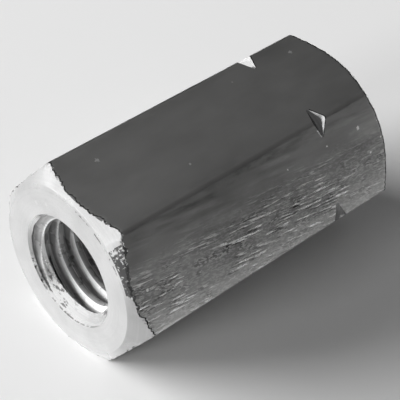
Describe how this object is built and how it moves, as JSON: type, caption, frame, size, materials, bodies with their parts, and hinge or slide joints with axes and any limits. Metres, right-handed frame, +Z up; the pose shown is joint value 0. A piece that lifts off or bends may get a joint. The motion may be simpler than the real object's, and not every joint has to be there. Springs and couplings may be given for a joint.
{
  "type": "coupling nut",
  "caption": "Hexagonal coupling nut with a right-hand and a left-hand thread, chamfered ends and notches that mark the left-hand end.",
  "frame": {"origin": "under the middle of the nut, on the flat that it lies on", "axes": "+X along the bore, towards the left-hand end, which has the mark; +Z up"},
  "size_m": [0.024, 0.015, 0.013],
  "materials": {
    "steel": "drawn flats and bright turned ends"
  },
  "bodies": {
    "root": {"coupling_nut": "steel"}
  },
  "joints": []
}
